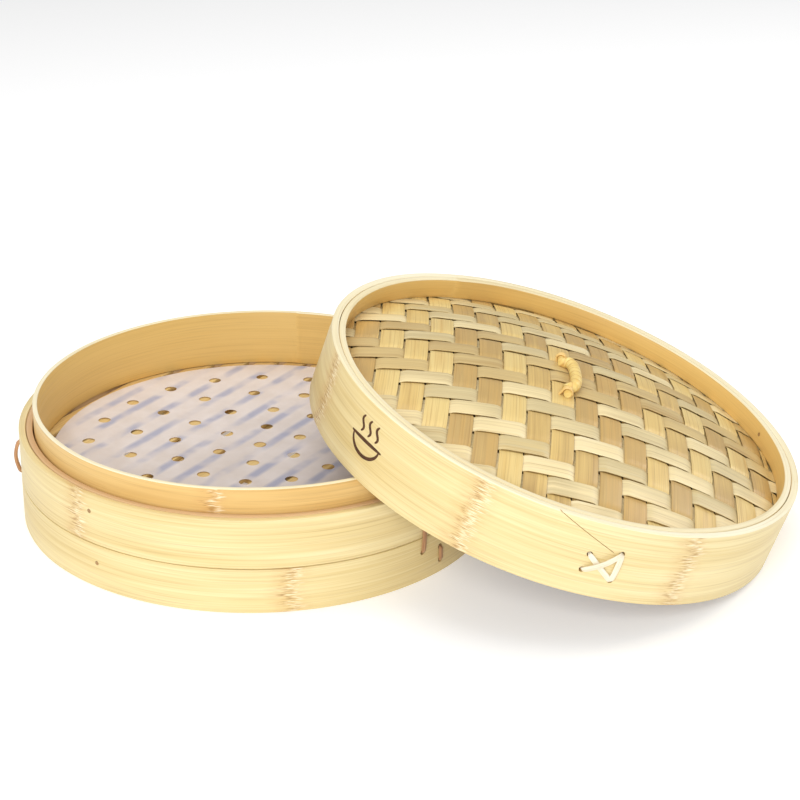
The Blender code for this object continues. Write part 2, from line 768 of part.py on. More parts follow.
def main():
    clear_scene()
    lid_x, lid_z = lean_of_lid()
    far_end = lid_x + LID_HEIGHT * math.sin(LEAN) + BASKET_RADIUS * math.cos(LEAN)
    middle = (far_end - BASKET_RADIUS) / 2
    basket = empty("basket_frame", (-middle, 0.0, 0.0))
    lower, upper, middle_hoop = build_basket_hoops(basket)
    build_basket_fasteners(basket, lower, upper, middle_hoop)
    build_floor(basket)
    build_liner(basket)

    _, peg_height = handle_heights()
    tilt = Matrix.Rotation(LEAN, 3, "Y")
    lid_place = Vector((lid_x - middle, 0.0, lid_z))
    peg_place = Vector((HANDLE_PLACE, 0.0, peg_height))
    lid_pivot = empty("lid_pivot", lid_place + tilt @ peg_place, tilt=LEAN)
    shift = (-HANDLE_PLACE, 0.0, -peg_height)
    outer_band, upper_hoop = build_lid_hoops(lid_pivot, shift)
    build_lid_fasteners(lid_pivot, shift, outer_band, upper_hoop)
    warps = Strips(WARP_TURN, WARP_PITCH, WARP_SHIFT)
    wefts = Strips(WEFT_TURN, WEFT_PITCH, WEFT_SHIFT)
    warp_finish = finish("warp_strips", STRIP_FINISH)
    weft_finish = finish("weft_strips", WEFT_FINISH)
    warp_comb = build_comb("mat_warp_strips", warps, wefts, True, lid_pivot, shift, warp_finish)
    weft_comb = build_comb("mat_weft_strips", wefts, warps, False, lid_pivot, shift, weft_finish)
    lining = build_lining(lid_pivot, shift)
    build_handle(lid_pivot, shift, (warp_comb, weft_comb, lining))


main()
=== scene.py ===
"""Looks of the bamboo steamer basket: fine hoops, single woven strips, paper, rattan, light."""

import json
import math
import random

import bmesh
import bpy
from mathutils import Matrix, Vector, noise


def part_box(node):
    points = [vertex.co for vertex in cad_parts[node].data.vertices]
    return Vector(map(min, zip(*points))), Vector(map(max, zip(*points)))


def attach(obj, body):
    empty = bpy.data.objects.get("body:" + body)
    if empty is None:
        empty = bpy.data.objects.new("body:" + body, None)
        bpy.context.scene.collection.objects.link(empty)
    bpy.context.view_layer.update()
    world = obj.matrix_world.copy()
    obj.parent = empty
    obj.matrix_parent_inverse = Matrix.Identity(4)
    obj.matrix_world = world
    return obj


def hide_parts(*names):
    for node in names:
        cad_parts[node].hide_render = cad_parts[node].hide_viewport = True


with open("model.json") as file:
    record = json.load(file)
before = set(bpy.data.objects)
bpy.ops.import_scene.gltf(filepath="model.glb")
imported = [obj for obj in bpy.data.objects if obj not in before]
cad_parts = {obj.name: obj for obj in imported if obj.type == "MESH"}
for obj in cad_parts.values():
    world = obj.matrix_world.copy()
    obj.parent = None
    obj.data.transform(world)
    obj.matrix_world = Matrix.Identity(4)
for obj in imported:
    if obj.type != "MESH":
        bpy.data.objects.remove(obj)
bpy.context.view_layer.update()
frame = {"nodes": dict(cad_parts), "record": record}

# Places and sizes from the frame
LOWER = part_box("basket_lower_band")
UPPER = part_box("basket_upper_band")
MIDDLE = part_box("basket_middle_hoop")
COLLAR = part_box("basket_inner_hoop")
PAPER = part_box("parchment_liner")
BASKET_X = (LOWER[0].x + LOWER[1].x) / 2
RADIUS = (LOWER[1].y - LOWER[0].y) / 2
MIDDLE_RADIUS = (MIDDLE[1].y - MIDDLE[0].y) / 2
COLLAR_RADIUS = (COLLAR[1].y - COLLAR[0].y) / 2
BASKET = Matrix.Translation((BASKET_X, 0.0, 0.0))

LEAN = math.pi * (1 + frame["record"]["behaviour"]["couplings"][0]["ratio"])
LID_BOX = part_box("lid_outer_band")
LID_X = LID_BOX[0].x + RADIUS * math.cos(LEAN)
LID_Z = LID_BOX[0].z + RADIUS * math.sin(LEAN)
LID_HEIGHT = (LID_BOX[1].x - LID_X - RADIUS * math.cos(LEAN)) / math.sin(LEAN)
LID = Matrix.Translation((LID_X, 0.0, LID_Z)) @ Matrix.Rotation(LEAN, 4, "Y")

# Walls, as in the CAD model
OUTER_WALL = 0.0037
MIDDLE_WALL = 0.0037
INNER_WALL = 0.0024
SUPPORT_WALL = 0.0034
LID_HOOP_WALL = 0.0034
CLEARANCE = 0.0003
COLLAR_GROOVE = 0.0004
LID_INNER = RADIUS - OUTER_WALL
LID_HOOP_RADIUS = LID_INNER - CLEARANCE
LID_RIM_INNER = LID_HOOP_RADIUS - LID_HOOP_WALL
LID_LOWER_HOOP = (0.0149, 0.0248)

# Hoops: segments, rounding, how far a face is from a mark where its strip has none, how
# uneven the strip is, and its lapped end
HOOP_SEGMENTS = 360
EDGE_ROUND = 0.00045
FAR_FROM_KNOT = 100.0
UNEVEN_OUT = 0.00012
UNEVEN_UP = 0.00018
LAP_HEIGHT = 0.0006
LAP_TURN = 0.22
LAP_SHADE_TURN = 1.2

# Mat
MAT_EDGE = LID_HEIGHT - 0.01275
DOME_RISE = 0.0188
DOME_RADIUS = LID_RIM_INNER - 0.0006
MAT_TOP_AT_EDGE = MAT_EDGE + 0.0012
STRIP_END_RADIUS = LID_HOOP_RADIUS - 0.0013
STRIP_THICKNESS = 0.00045
STRIP_STEP = 0.0020
STRIP_BEND = 0.0034
STRIP_SWAY = 0.00012
NARROWEST_STRIP = 0.002
WEAVE_LEVEL = 0.00085
WARP_PITCH = 0.012676
WARP_SHIFT = -0.10043
WARP_TURN = math.radians(9.0)
WEFT_PITCH = 0.0120
WEFT_SHIFT = -0.0036
WEFT_TURN = math.radians(104.7)
LINING_DROP = 0.00175
LINING_THICKNESS = 0.0006
LINING_RINGS = 24
LINING_SEGMENTS = 96

# Small parts on the walls: angle in degrees, height in metres
STRAND_WIDTH = 0.0027
STRAND_THICKNESS = 0.0008
LOOP_THICKNESS = 0.0017
STRAND_DEPTH = 0.0024
STITCH_HOLE_RADIUS = 0.0015
STRAND_BEND = 0.0011
PIN_HOLE_RADIUS = 0.00118
PAST_WALL = 0.002
BASKET_STITCHES = {
    "stitch_loop_left": ((-163.0, 0.0380), (-163.0, 0.0200), 0.0020),
    "stitch_strand_right": ((-35.7, 0.0160), (-35.4, 0.0330), 0.0004),
    "stitch_strand_low": ((-29.9, 0.0146), (-29.8, 0.0071), 0.0),
}
BASKET_PINS = ((-116.1, 0.0416), (-114.6, 0.0137))
LACING_HOLES = ((-75.4, 0.0224), (-75.7, 0.0136), (-68.7, 0.0259), (-68.8, 0.0109))
LACING_STRANDS = ((0, 3, 0.0002), (2, 3, 0.0006), (1, 2, 0.0018))
SCARF = ((-84.9, LID_HEIGHT), (-70.6, 0.0260))
SCARF_WIDTH = 0.00035
SCARF_DEPTH = 0.0008
LID_PIN = (27.0, 0.0340)

# Burnt mark
MARK_PLACE = (-131.6, 0.0215)
CURL_PITCH = 0.0058
CURL_SWING = 0.0012
CURL_BOTTOM = 0.0015
CURL_HEIGHT = 0.0085
CURL_WIDTH = 0.0016
BOWL_TOP = -0.0012
BOWL_RADIUS = 0.0102
BOWL_DEPTH = 0.0078
BOWL_RIM = 0.0118
BOWL_WIDTH = 0.0018
MARK_SUNK = 0.0002
MARK_PROUD = 0.00003
MARK_LAYER = 0.00001

# Handle
HANDLE_PLACE = -0.005
HANDLE_TURN = math.radians(12)
HANDLE_HALF_SPAN = 0.0195
HANDLE_AXIS = 0.0486
PEG_AXIS = 0.0410
HANDLE_REACH = 0.0058
HANDLE_LEAN = math.radians(69)
HANDLE_RADIUS = 0.0031
STUB_RADIUS = 0.0020
STUB_LENGTH = 0.0040
WRAP_PITCH = 0.0044
WRAP_ROUND = 0.0195
WRAP_DEPTH = 0.14
LOOP_STEPS = 90
LOOP_SIDES = 28
TIE_GAP = 0.0006
TIE_PITCH = 0.00095
TIE_RADII = (0.00050, 0.00046)
TIE_STEPS = 12
TIE_SIDES = 10

# Slats and paper
SLAT_ANGLE = math.radians(70)
SLAT_PITCH = 0.0150
SLAT_SHIFT = -0.0035
SLAT_ROUND = 0.0005
BATTEN_ROUND = 0.0006
PAPER_ALPHA = 0.72
PAPER_LIFT = 0.00005
PAPER_THICKNESS = 0.00016
PAPER_WAVE = 0.00022
PAPER_RINGS = 36
PAPER_SEGMENTS = 144
PAPER_HOLE_RADIUS = 0.0034
PAPER_HOLE_PITCH = 0.0232
PAPER_HOLE_COUNTS = (6, 12, 15, 21)
PAPER_HOLE_TURN = math.radians(155.5)

# Camera: where the basket's axis is x = 0
CAMERA_PLACE = Vector((0.24432, -0.89282, 0.46322))
CAMERA_AZIMUTH = math.radians(10.637)
CAMERA_DROP = math.radians(23.69)
CAMERA_ROLL = math.radians(0.79)
CAMERA_LENS = 84.81

# Light and floor; each light has a name, a place, the side of its square and its power
WORLD_STRENGTH = 0.40
FLOOR_GLOW = 0.26
FLOOR_HALF = 6.0
FLOOR_DROP = 0.0002
LIGHT_AIM = Vector((0.0, 0.0, 0.05))
LIGHTS = (
    ("key", (0.0, -1.5, 0.85), 0.8, 18.0),
    ("top", (-0.2, 0.1, 1.6), 1.2, 10.0),
    ("fill", (1.2, 0.9, 1.1), 0.8, 8.0),
)

DRAW = random.Random(11)


# Meshes


def on_circle(radius, angle, height=0.0):
    return Vector((radius * math.cos(angle), radius * math.sin(angle), height))


def turns(count, start=0.0):
    return [start + 2 * math.pi * step / count for step in range(count)]


def wave(value, seed, scale):
    """Smooth noise from -1 to 1 along one number."""
    return noise.noise(Vector((value * scale, seed * 7.31, seed * 3.17)))


def heading_at(line, index):
    """Direction of a line of (a, b, ...) points at one of them."""
    before = line[max(index - 1, 0)]
    after = line[min(index + 1, len(line) - 1)]
    return Vector((after[0] - before[0], after[1] - before[1])).normalized()


class Sweep:
    """Quads between sections, with the grain's run as a map: u along, v across, in metres."""

    def __init__(self):
        self.mesh = bmesh.new()
        self.grain = self.mesh.loops.layers.uv.new("grain")
        self.knot = self.mesh.loops.layers.uv.new("knot")

    def add(self, sections, along, across, closed=False, tones=(0.5,), knots=(), slots=None):
        """Adds a tube through the sections, with a cap at each end unless it is closed.

        along has one value for each section, and one more when closed; across one for each
        point of a section, and one more for the way back to the first. knots are places along.
        The map "knot" holds the way to the nearest knot, and the tone.
        """
        rows = []
        for section in sections:
            rows.append([self.mesh.verts.new(point) for point in section])
        count = len(rows[0])
        for i in range(len(rows) if closed else len(rows) - 1):
            first, second = rows[i], rows[(i + 1) % len(rows)]
            middle = (along[i] + along[i + 1]) / 2
            knot = min(knots, key=lambda place: abs(place - middle), default=FAR_FROM_KNOT)
            for j in range(count):
                k = (j + 1) % count
                face = self.mesh.faces.new((first[j], first[k], second[k], second[j]))
                spots = ((i, j), (i, j + 1), (i + 1, j + 1), (i + 1, j))
                for loop, (u, v) in zip(face.loops, spots):
                    loop[self.grain].uv = (along[u], across[v])
                    loop[self.knot].uv = (along[u] - knot, tones[u % len(tones)])
                face.smooth = True
                if slots:
                    face.material_index = slots[j]
        if not closed:
            for i in (0, len(rows) - 1):
                face = self.mesh.faces.new(rows[i])
                for loop, v in zip(face.loops, across):
                    loop[self.grain].uv = (along[i], v)
                    loop[self.knot].uv = (FAR_FROM_KNOT, tones[i % len(tones)])
        return self


def piece(name, sweep, place, materials, body, nodes=(), sharp=40.0):
    """A finished object from a Sweep or a bmesh, riding on its body."""
    mesh = sweep.mesh if isinstance(sweep, Sweep) else sweep
    bmesh.ops.recalc_face_normals(mesh, faces=mesh.faces)
    data = bpy.data.meshes.new(name)
    mesh.to_mesh(data)
    mesh.free()
    data.set_sharp_from_angle(angle=math.radians(sharp))
    obj = bpy.data.objects.new(name, data)
    bpy.context.scene.collection.objects.link(obj)
    obj.matrix_world = place
    for material in materials:
        data.materials.append(material)
    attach(obj, body)
    if nodes:
        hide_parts(*nodes)
    return obj


def carve(obj, cutters):
    """Cuts the cutters' meshes, given in the object's own frame, out of it."""
    data = bpy.data.meshes.new("cutter")
    bmesh.ops.recalc_face_normals(cutters, faces=cutters.faces)
    cutters.to_mesh(data)
    cutters.free()
    tool = bpy.data.objects.new("cutter", data)
    bpy.context.scene.collection.objects.link(tool)
    tool.matrix_world = obj.matrix_world
    modifier = obj.modifiers.new("cut", "BOOLEAN")
    modifier.operation = "DIFFERENCE"
    modifier.solver = "EXACT"
    modifier.object = tool
    bpy.context.view_layer.update()
    graph = bpy.context.evaluated_depsgraph_get()
    cut = bpy.data.meshes.new_from_object(obj.evaluated_get(graph))
    obj.modifiers.clear()
    obj.data = cut
    bpy.data.objects.remove(tool)


def rod_into(mesh, start, end, radius, sides=20):
    """Adds a closed round rod to a bmesh."""
    axis = (end - start).normalized()
    side = axis.orthogonal().normalized()
    other = axis.cross(side)
    rings = []
    for centre in (start, end):
        ring = []
        for a in turns(sides):
            out = math.cos(a) * side + math.sin(a) * other
            ring.append(mesh.verts.new(centre + radius * out))
        rings.append(ring)
    for j in range(sides):
        k = (j + 1) % sides
        mesh.faces.new((rings[0][j], rings[0][k], rings[1][k], rings[1][j]))
    mesh.faces.new(rings[0])
    mesh.faces.new(rings[1])


def wall_rod(mesh, spot, inner, outer, radius):
    """Adds a rod across a wall, at a spot of (degrees, height)."""
    angle = math.radians(spot[0])
    start = on_circle(inner, angle, spot[1])
    end = on_circle(outer, angle, spot[1])
    rod_into(mesh, start, end, radius)


# Materials


def linear(*rgb):
    """Linear colour from 0 to 255 display values."""
    values = []
    for value in rgb:
        share = value / 255
        values.append(share / 12.92 if share <= 0.04045 else ((share + 0.055) / 1.055) ** 2.4)
    return (*values, 1.0)


class Nodes:
    """A material's node tree, with short calls for the few nodes used here."""

    def __init__(self, name):
        self.material = bpy.data.materials.new(name)
        self.material.use_nodes = True
        self.tree = self.material.node_tree
        self.shader = self.tree.nodes["Principled BSDF"]

    def link(self, value, socket):
        if isinstance(value, bpy.types.NodeSocket):
            self.tree.links.new(value, socket)
        else:
            socket.default_value = value

    def math(self, operation, a, b=0.0, clamp=False):
        node = self.tree.nodes.new("ShaderNodeMath")
        node.operation = operation
        node.use_clamp = clamp
        for socket, value in zip(node.inputs, (a, b)):
            self.link(value, socket)
        return node.outputs[0]

    def place(self, name="grain"):
        """(along, across) in metres from one of the maps."""
        node = self.tree.nodes.new("ShaderNodeUVMap")
        node.uv_map = name
        split = self.tree.nodes.new("ShaderNodeSeparateXYZ")
        self.link(node.outputs[0], split.inputs[0])
        return split.outputs[0], split.outputs[1]

    def noise(self, x, y, z, scale_x, scale_y, detail=3.0, rough=0.55):
        """Noise over (x, y), stretched, at a fixed z."""
        join = self.tree.nodes.new("ShaderNodeCombineXYZ")
        for socket, value, scale in zip(join.inputs, (x, y), (scale_x, scale_y)):
            self.link(self.math("MULTIPLY", value, scale), socket)
        join.inputs[2].default_value = z
        node = self.tree.nodes.new("ShaderNodeTexNoise")
        self.link(join.outputs[0], node.inputs["Vector"])
        node.inputs["Scale"].default_value = 1.0
        node.inputs["Detail"].default_value = detail
        node.inputs["Roughness"].default_value = rough
        return node.outputs["Fac"]

    def spread(self, value, low, high, to_low=0.0, to_high=1.0):
        node = self.tree.nodes.new("ShaderNodeMapRange")
        for socket, number in zip(node.inputs, (value, low, high, to_low, to_high)):
            self.link(number, socket)
        return node.outputs[0]

    def mix(self, share, a, b):
        """Colour mix: inputs 0, 6 and 7 are the share and the two colours."""
        node = self.tree.nodes.new("ShaderNodeMix")
        node.data_type = "RGBA"
        self.link(share, node.inputs[0])
        self.link(a, node.inputs[6])
        self.link(b, node.inputs[7])
        return node.outputs[2]

    def ramp(self, value, stops):
        node = self.tree.nodes.new("ShaderNodeValToRGB")
        elements = node.color_ramp.elements
        while len(elements) < len(stops):
            elements.new(0.5)
        for element, (place, colour) in zip(elements, stops):
            element.position = place
            element.color = colour
        self.link(value, node.inputs[0])
        return node.outputs[0]

    def bump(self, height, distance, strength):
        node = self.tree.nodes.new("ShaderNodeBump")
        node.inputs["Distance"].default_value = distance
        node.inputs["Strength"].default_value = strength
        self.link(height, node.inputs["Height"])
        self.link(node.outputs[0], self.shader.inputs["Normal"])

    def finish(self, colour, roughness):
        self.link(colour, self.shader.inputs["Base Color"])
        self.link(roughness, self.shader.inputs["Roughness"])
        return self.material


def bamboo(name, stops, gloss=0.42, line_depth=0.36, tone_share=0.3, marks=False):
    """Split bamboo: long streaks, fibre lines, and where the strip has one, a node's flecks.

    The mark is a ragged line across the strip: each fibre steps aside, dark on one side of the
    step and pale on the other.
    """
    n = Nodes(name)
    along, across = n.place()
    from_knot, tone = n.place("knot")
    broad = n.noise(along, across, 31.0, 6.0, 105.0, detail=3.0)
    streak = n.noise(along, across, 43.0, 8.0, 560.0, detail=3.0)
    fibre = n.noise(along, across, 17.0, 12.0, 1250.0, detail=2.0, rough=0.7)
    wide_part = n.spread(broad, 0.3, 0.7, 0.0, 0.55)
    fine_part = n.spread(streak, 0.3, 0.7, 0.0, 0.45)
    base = n.math("MULTIPLY", n.math("ADD", wide_part, fine_part), 1.0 - tone_share)
    base = n.math("ADD", base, n.math("MULTIPLY", tone, tone_share), clamp=True)
    colour = n.ramp(base, stops)
    brown = linear(152, 110, 54)
    colour = n.mix(n.spread(fibre, 0.50, 0.74, 0.0, line_depth), colour, brown)
    if marks:
        step = n.noise(along, across, 11.0, 6.0, 330.0, detail=6.0, rough=0.8)
        place = n.math("ADD", from_knot, n.spread(step, 0.25, 0.75, -0.008, 0.008))
        away = n.math("ABSOLUTE", place)
        fleck = n.noise(along, across, 7.0, 170.0, 1700.0, detail=2.0)
        wide = n.spread(away, 0.001, 0.011, 1.0, 0.0)
        halo = n.math("MULTIPLY", wide, n.spread(fleck, 0.35, 0.65, 0.1, 0.5))
        colour = n.mix(halo, colour, linear(204, 148, 84))
        near = n.spread(away, 0.0006, 0.0042, 1.0, 0.0)
        dark = n.math("MULTIPLY", near, n.spread(fleck, 0.48, 0.62, 0.0, 0.62))
        colour = n.mix(dark, colour, brown)
        beyond = n.math("ABSOLUTE", n.math("SUBTRACT", place, 0.0030))
        near = n.spread(beyond, 0.0, 0.0045, 1.0, 0.0)
        light = n.math("MULTIPLY", near, n.spread(fleck, 0.52, 0.38))
        colour = n.mix(n.math("MULTIPLY", light, 0.75), colour, linear(252, 244, 216))
    n.bump(fibre, 0.00012, 0.35)
    return n.finish(colour, n.spread(streak, 0.3, 0.7, gloss - 0.06, gloss + 0.12))


def ramp_stops(*colours):
    """Evenly spaced ramp stops from display colours."""
    last = len(colours) - 1
    return [(index / last, linear(*colour)) for index, colour in enumerate(colours)]


def make_materials():
    made = {}
    band = ramp_stops((192, 163, 98), (221, 197, 136), (233, 214, 160), (241, 228, 185))
    collar = ramp_stops((206, 162, 90), (222, 184, 114), (232, 200, 138))
    inner = ramp_stops((214, 174, 98), (226, 188, 112), (233, 198, 124))
    rim = ramp_stops((226, 206, 156), (240, 227, 188), (250, 243, 218))
    ledge = ramp_stops((196, 154, 106), (212, 174, 128), (222, 190, 146))
    warp = ramp_stops(
        (170, 128, 66), (206, 168, 98), (190, 158, 98),
        (220, 188, 116), (228, 202, 134), (214, 178, 108),
    )
    weft = ramp_stops(
        (178, 144, 84), (202, 176, 120), (218, 192, 130),
        (206, 188, 140), (236, 216, 164), (244, 230, 188),
    )
    slat = ramp_stops((200, 160, 94), (218, 184, 118), (232, 204, 142))
    made["band"] = bamboo("band_bamboo", band, line_depth=0.3, marks=True)
    made["collar"] = bamboo("collar_bamboo", collar, marks=True)
    made["inner"] = bamboo("inner_bamboo", inner, gloss=0.46, line_depth=0.2, tone_share=0.5)
    made["rim"] = bamboo("rim_bamboo", rim, gloss=0.5, line_depth=0.2)
    made["ledge"] = bamboo("ledge_bamboo", ledge, gloss=0.5, line_depth=0.3)
    made["warp"] = bamboo("warp_bamboo", warp, gloss=0.38, line_depth=0.5, tone_share=0.66)
    made["weft"] = bamboo("weft_bamboo", weft, gloss=0.38, line_depth=0.42, tone_share=0.66)
    made["slat"] = bamboo("slat_bamboo", slat, gloss=0.55)
    made["lining"] = lining_shade_material()
    made["paper"] = paper_material()
    made["rattan"] = rattan_material("rattan", linear(240, 206, 132), linear(200, 146, 72))
    made["wound"] = wrapped_material()
    browns = linear(196, 148, 104), linear(140, 92, 56)
    made["brown_rattan"] = rattan_material("brown_rattan", *browns)
    made["lacing"] = rattan_material("lacing", linear(244, 236, 214), linear(214, 196, 160))
    made["pin"] = rattan_material("pin", linear(176, 138, 86), linear(128, 92, 52))
    made["burn"] = burnt_material()
    return made


def rattan_material(name, light, dark):
    n = Nodes(name)
    along, across = n.place()
    streak = n.noise(along, across, 0.3, 40.0, 1500.0, detail=3.0)
    patch = n.noise(along, across, 0.7, 160.0, 160.0, detail=2.0)
    colour = n.mix(n.spread(streak, 0.35, 0.7, 0.0, 0.7), light, dark)
    colour = n.mix(n.spread(patch, 0.5, 0.75, 0.0, 0.4), colour, dark)
    n.bump(streak, 0.0001, 0.4)
    return n.finish(colour, n.spread(patch, 0.3, 0.7, 0.36, 0.5))


def wrapped_material():
    """Rattan wound round a core: a line of painted shade along each turn's edge, in the groove
    between turns.
    """
    n = Nodes("wound_rattan")
    along, across = n.place()
    turn = n.math("ADD", n.math("DIVIDE", along, WRAP_PITCH), n.math("DIVIDE", across, WRAP_ROUND))
    edge = n.math("ABSOLUTE", n.math("SUBTRACT", n.math("FRACT", turn), 0.5))
    streak = n.noise(along, across, 0.3, 900.0, 160.0, detail=3.0)
    colour = n.mix(n.spread(streak, 0.3, 0.7), linear(228, 188, 100), linear(248, 224, 146))
    # Painted shade: darker brown in the groove at each turn's edge
    colour = n.mix(n.spread(edge, 0.41, 0.5, 0.0, 0.6), colour, linear(186, 132, 60))
    n.bump(streak, 0.0001, 0.4)
    return n.finish(colour, n.spread(streak, 0.3, 0.7, 0.34, 0.48))


def lining_shade_material():
    n = Nodes("lining")
    # Painted shade: dark browns that stand for the shade seen through the gaps of the weave above
    along, across = n.place()
    vein = n.noise(along, across, 0.1, 12.0, 500.0, detail=4.0)
    patch = n.noise(along, across, 0.5, 30.0, 30.0, detail=3.0)
    colour = n.mix(n.spread(vein, 0.3, 0.7), linear(84, 58, 30), linear(112, 82, 46))
    colour = n.mix(n.spread(patch, 0.45, 0.7, 0.0, 0.5), colour, linear(70, 46, 24))
    n.bump(vein, 0.0002, 0.5)
    return n.finish(colour, n.spread(patch, 0.3, 0.7, 0.6, 0.8))


def paper_material():
    """Translucent paper: pale where it lies on a slat; the bluish streaks over the gaps between
    slats are painted shade, the dark of the gaps below painted into its colour.
    """
    n = Nodes("parchment")
    x, y = n.place()
    cloud = n.noise(x, y, 0.2, 70.0, 70.0, detail=4.0)
    fleck = n.noise(x, y, 0.6, 1500.0, 1500.0, detail=2.0)
    patch = n.noise(x, y, 0.9, 42.0, 42.0, detail=2.0)
    # Painted shade: bluish streaks placed by the slat pitch, shift and angle, where the dark gaps
    # between slats lie under the paper
    offset = n.math("MULTIPLY", x, math.sin(SLAT_ANGLE) / SLAT_PITCH)
    offset = n.math("ADD", offset, -SLAT_SHIFT / SLAT_PITCH)
    back = n.math("MULTIPLY", y, math.cos(SLAT_ANGLE) / SLAT_PITCH)
    offset = n.math("SUBTRACT", offset, back)
    from_gap = n.math("ABSOLUTE", n.math("SUBTRACT", n.math("FRACT", offset), 0.5))
    painted_gap_shade = n.spread(from_gap, 0.25, 0.09)
    painted_gap_shade = n.math("MULTIPLY", painted_gap_shade, n.spread(patch, 0.42, 0.58, 0.15, 1.0))
    over_slat = n.mix(n.spread(cloud, 0.35, 0.65), linear(234, 222, 214), linear(243, 233, 228))
    # Painted shade: the bluish grey of the gaps seen through the paper
    colour = n.mix(painted_gap_shade, over_slat, linear(190, 190, 208))
    n.bump(fleck, 0.00005, 0.3)
    n.shader.inputs["Alpha"].default_value = PAPER_ALPHA
    return n.finish(colour, n.spread(fleck, 0.3, 0.7, 0.42, 0.55))


def burnt_material():
    n = Nodes("burnt_mark")
    along, across = n.place()
    char = n.noise(along, across, 0.4, 400.0, 1800.0, detail=4.0)
    colour = n.mix(n.spread(char, 0.35, 0.7), linear(64, 36, 18), linear(104, 66, 36))
    n.bump(char, 0.0001, 0.4)
    return n.finish(colour, n.spread(char, 0.3, 0.7, 0.6, 0.8))


# Hoops


def round_profile(outer, inner, bottom, top):
    """Corners of a strip's section, rounded, counted up the outside and down the inside."""
    points = []
    slots = []
    corners = (
        (outer, bottom, -math.pi / 2),
        (outer, top, 0.0),
        (inner, top, math.pi / 2),
        (inner, bottom, math.pi),
    )
    for index, (radius, height, start) in enumerate(corners):
        r = radius - EDGE_ROUND if index < 2 else radius + EDGE_ROUND
        z = height - EDGE_ROUND if index in (1, 2) else height + EDGE_ROUND
        for step in range(3):
            turn = start + math.pi / 4 * step
            points.append((r + EDGE_ROUND * math.cos(turn), z + EDGE_ROUND * math.sin(turn)))
            slots.append((0, 1, 1, 2)[index] if step < 2 else (0, 1, 2, 1)[index])
    return points, slots


def hoop(name, node, place, body, outer, inner, bottom, top, materials, seed, knots=(), seam=None):
    """A bent bamboo strip: slightly uneven, with node marks and a lapped end."""
    profile, slots = round_profile(outer, inner, bottom, top)
    around = turns(HOOP_SEGMENTS, seam or 0.0)
    sections = []
    tones = []
    for angle in around:
        spot = on_circle(3.0, angle)
        uneven = UNEVEN_OUT * noise.noise(spot * 1.3 + Vector((seed, 0, 0)))
        lift = UNEVEN_UP * noise.noise(spot * 0.9 + Vector((0, seed, 0)))
        past = angle - around[0]
        left = 2 * math.pi - past
        lap = LAP_HEIGHT * max(0.0, 1 - left / LAP_TURN) if seam is not None else 0.0
        section = []
        for radius, height in profile:
            if radius < (outer + inner) / 2:
                r = radius - lap
            else:
                r = min(radius + uneven, outer)
            raised = lift - UNEVEN_UP if height > (bottom + top) / 2 else 0.0
            section.append(on_circle(r, angle, height + raised))
        sections.append(section)
        fade = max(0.0, 1 - left / LAP_SHADE_TURN) if seam is not None else 0.0
        tones.append(0.55 + 0.3 * wave(past, seed, 0.8) - 0.5 * fade)
    start = RADIUS * around[0] + seed
    length = 2 * math.pi * RADIUS
    along = [start + length * step / HOOP_SEGMENTS for step in range(HOOP_SEGMENTS + 1)]
    places = []
    for knot in knots:
        turn = (math.radians(knot) - around[0]) % (2 * math.pi)
        places.append(start + RADIUS * turn)
    across = [0.0]
    for (r0, z0), (r1, z1) in zip(profile, profile[1:] + profile[:1]):
        across.append(across[-1] + math.hypot(r1 - r0, z1 - z0))
    across = [value + seed * 0.37 for value in across]
    sweep = Sweep()
    sweep.add(sections, along, across, closed=True, tones=tones, knots=places, slots=slots)
    return piece(name, sweep, place, materials, body, (node,), sharp=50.0)


def build_basket_hoops():
    band, rim, inner = MATERIALS["band"], MATERIALS["rim"], MATERIALS["inner"]
    collar, ledge = MATERIALS["collar"], MATERIALS["ledge"]
    lower = hoop(
        "lower_band", "basket_lower_band", BASKET, "basket", RADIUS, RADIUS - OUTER_WALL,
        LOWER[0].z, LOWER[1].z, (band, band, band), 0.31, knots=(-68.9, 71.0, 171.0),
    )
    upper = hoop(
        "upper_band", "basket_upper_band", BASKET, "basket", RADIUS, RADIUS - OUTER_WALL,
        UPPER[0].z, UPPER[1].z, (band, band, band), 1.62, knots=(-120.8, 18.0, 128.0),
    )
    middle = hoop(
        "middle_hoop", "basket_middle_hoop", BASKET, "basket", MIDDLE_RADIUS,
        MIDDLE_RADIUS - MIDDLE_WALL + COLLAR_GROOVE, MIDDLE[0].z, MIDDLE[1].z,
        (ledge, ledge, ledge), 2.87,
    )
    hoop(
        "collar_hoop", "basket_inner_hoop", BASKET, "basket", COLLAR_RADIUS,
        COLLAR_RADIUS - INNER_WALL, COLLAR[0].z, COLLAR[1].z, (collar, rim, inner), 3.45,
        knots=(-85.9, 40.0, 160.0), seam=math.radians(94),
    )
    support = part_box("floor_support_hoop")
    hoop(
        "support_hoop", "floor_support_hoop", BASKET, "basket", COLLAR_RADIUS,
        COLLAR_RADIUS - SUPPORT_WALL, support[0].z, support[1].z, (inner, rim, inner), 4.71,
    )
    holes = bmesh.new()
    for start, end, _ in BASKET_STITCHES.values():
        for spot in (start, end):
            wall_rod(holes, spot, MIDDLE_RADIUS, RADIUS + PAST_WALL, STITCH_HOLE_RADIUS)
    for spot in BASKET_PINS:
        wall_rod(holes, spot, COLLAR_RADIUS + 0.0002, RADIUS + PAST_WALL, PIN_HOLE_RADIUS)
    for obj in (lower, upper, middle):
        carve(obj, holes.copy())
    holes.free()


